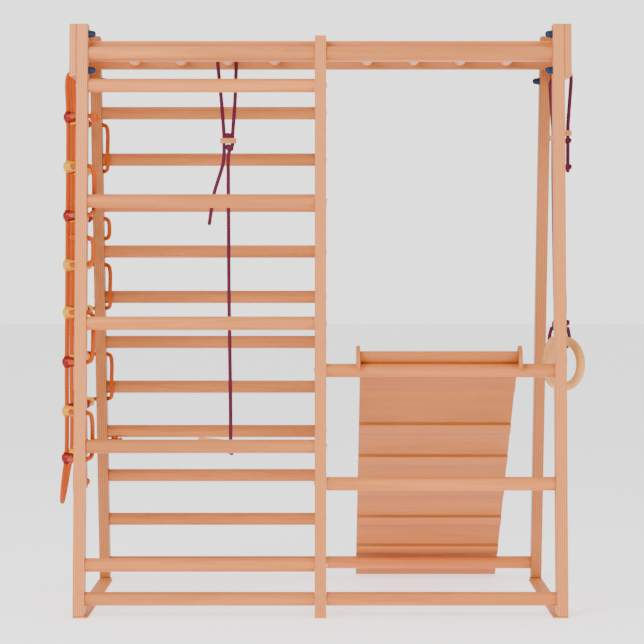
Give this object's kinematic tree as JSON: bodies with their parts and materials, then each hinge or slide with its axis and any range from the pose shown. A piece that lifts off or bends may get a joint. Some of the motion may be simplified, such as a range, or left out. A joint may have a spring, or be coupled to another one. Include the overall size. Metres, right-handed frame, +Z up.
{
  "type": "toddler climbing frame",
  "caption": "Free-standing wooden indoor climbing frame: wall bars, monkey bars, hook-on slide board, rope net, swing rope with a stick seat and hand rings.",
  "frame": {"origin": "bottom centre of the bounding box without the ropes, on the floor", "axes": "+X to the right across the front, towards the rings; +Y from the front frame to the rear frame; +Z up"},
  "size_m": [1.39, 0.9155, 1.546],
  "materials": {
    "plywood": "sanded, clear matt lacquer, plies showing on the edges",
    "beech": "sanded, clear satin lacquer",
    "board": "sanded plywood, clear matt lacquer",
    "pale_wood": "turned, clear satin lacquer",
    "orange_rope": "braided polyester",
    "burgundy_rope": "braided polyester",
    "knob_plastic": "moulded dark blue",
    "red_clip": "moulded red",
    "yellow_clip": "moulded yellow",
    "screw_steel": "zinc plated"
  },
  "bodies": {
    "frame": {"front_left_post": "plywood", "front_middle_post": "plywood", "front_right_post": "plywood", "rear_left_post": "plywood", "rear_middle_post": "plywood", "rear_right_post": "plywood", "left_top_plate": "plywood", "left_floor_strap": "plywood", "right_top_plate": "plywood", "right_floor_strap": "plywood", "front_beam": "beech", "rear_beam": "beech", "monkey_bar_1": "beech", "monkey_bar_2": "beech", "monkey_bar_3": "beech", "monkey_bar_4": "beech", "monkey_bar_5": "beech", "monkey_bar_6": "beech", "monkey_bar_7": "beech", "monkey_bar_8": "beech", "front_left_rung_1": "beech", "front_left_rung_2": "beech", "front_left_rung_3": "beech", "front_left_rung_4": "beech", "front_left_rung_5": "beech", "front_left_rung_6": "beech", "front_left_rung_7": "beech", "front_right_rung_1": "beech", "front_right_rung_2": "beech", "front_right_rung_3": "beech", "front_right_rung_4": "beech", "rear_left_rung_01": "beech", "rear_left_rung_02": "beech", "rear_left_rung_03": "beech", "rear_left_rung_04": "beech", "rear_left_rung_05": "beech", "rear_left_rung_06": "beech", "rear_left_rung_07": "beech", "rear_left_rung_08": "beech", "rear_left_rung_09": "beech", "rear_left_rung_10": "beech", "rear_left_rung_11": "beech", "rear_right_rung": "beech", "net_uprights_rope": "orange_rope", "net_rows_rope": "orange_rope"},
    "slide_board": {"slide_panel": "board", "slide_stop_rail": "board", "slide_hook_left": "board", "slide_hook_right": "board"},
    "swing_line": {"swing_rope": "burgundy_rope", "swing_stick": "pale_wood"},
    "swing_slider": {"swing_rope_adjuster": "pale_wood"},
    "front_ring_line": {"front_ring_rope": "burgundy_rope"},
    "front_ring_slider": {"front_ring_adjuster": "pale_wood"},
    "front_hand_ring": {"front_ring": "pale_wood"},
    "rear_ring_line": {"rear_ring_rope": "burgundy_rope"},
    "rear_ring_slider": {"rear_ring_adjuster": "pale_wood"},
    "rear_hand_ring": {"rear_ring": "pale_wood"}
  },
  "joints": [
    {"name": "slide_tilt", "type": "hinge", "parent": "frame", "child": "slide_board", "pos_m": [0.29015, -0.37295, 0.637], "axis": [1, 0, 0], "range_deg": [0, 38]},
    {"name": "swing_sway", "type": "hinge", "parent": "frame", "child": "swing_line", "pos_m": [-0.2742, -0.1077, 1.4785], "axis": [0, 1, 0], "range_deg": [-12, 14]},
    {"name": "swing_adjuster_slide", "type": "slide", "parent": "swing_line", "child": "swing_slider", "axis": [0, 0, 1], "range_m": [-0.003, 0.01]},
    {"name": "front_ring_swing", "type": "hinge", "parent": "frame", "child": "front_ring_line", "pos_m": [0.6312, -0.2447, 1.411], "axis": [0, 1, 0], "range_deg": [-50, 2]},
    {"name": "front_adjuster_slide", "type": "slide", "parent": "front_ring_line", "child": "front_ring_slider", "axis": [0, 0, 1], "range_m": [-0.03, 0.006]},
    {"name": "front_ring_tilt", "type": "hinge", "parent": "front_ring_line", "child": "front_hand_ring", "pos_m": [0.6312, -0.2447, 0.7105], "axis": [0.6157, -0.788, 0], "range_deg": [-40, 40]},
    {"name": "rear_ring_swing", "type": "hinge", "parent": "frame", "child": "rear_ring_line", "pos_m": [0.6312, 0.0313, 1.411], "axis": [0, 1, 0], "range_deg": [-50, 25]},
    {"name": "rear_adjuster_slide", "type": "slide", "parent": "rear_ring_line", "child": "rear_ring_slider", "axis": [0, 0, 1], "range_m": [-0.03, 0.006]},
    {"name": "rear_ring_tilt", "type": "hinge", "parent": "rear_ring_line", "child": "rear_hand_ring", "pos_m": [0.6312, 0.0313, 0.7035], "axis": [0.454, 0.891, 0], "range_deg": [-40, 40]}
  ]
}
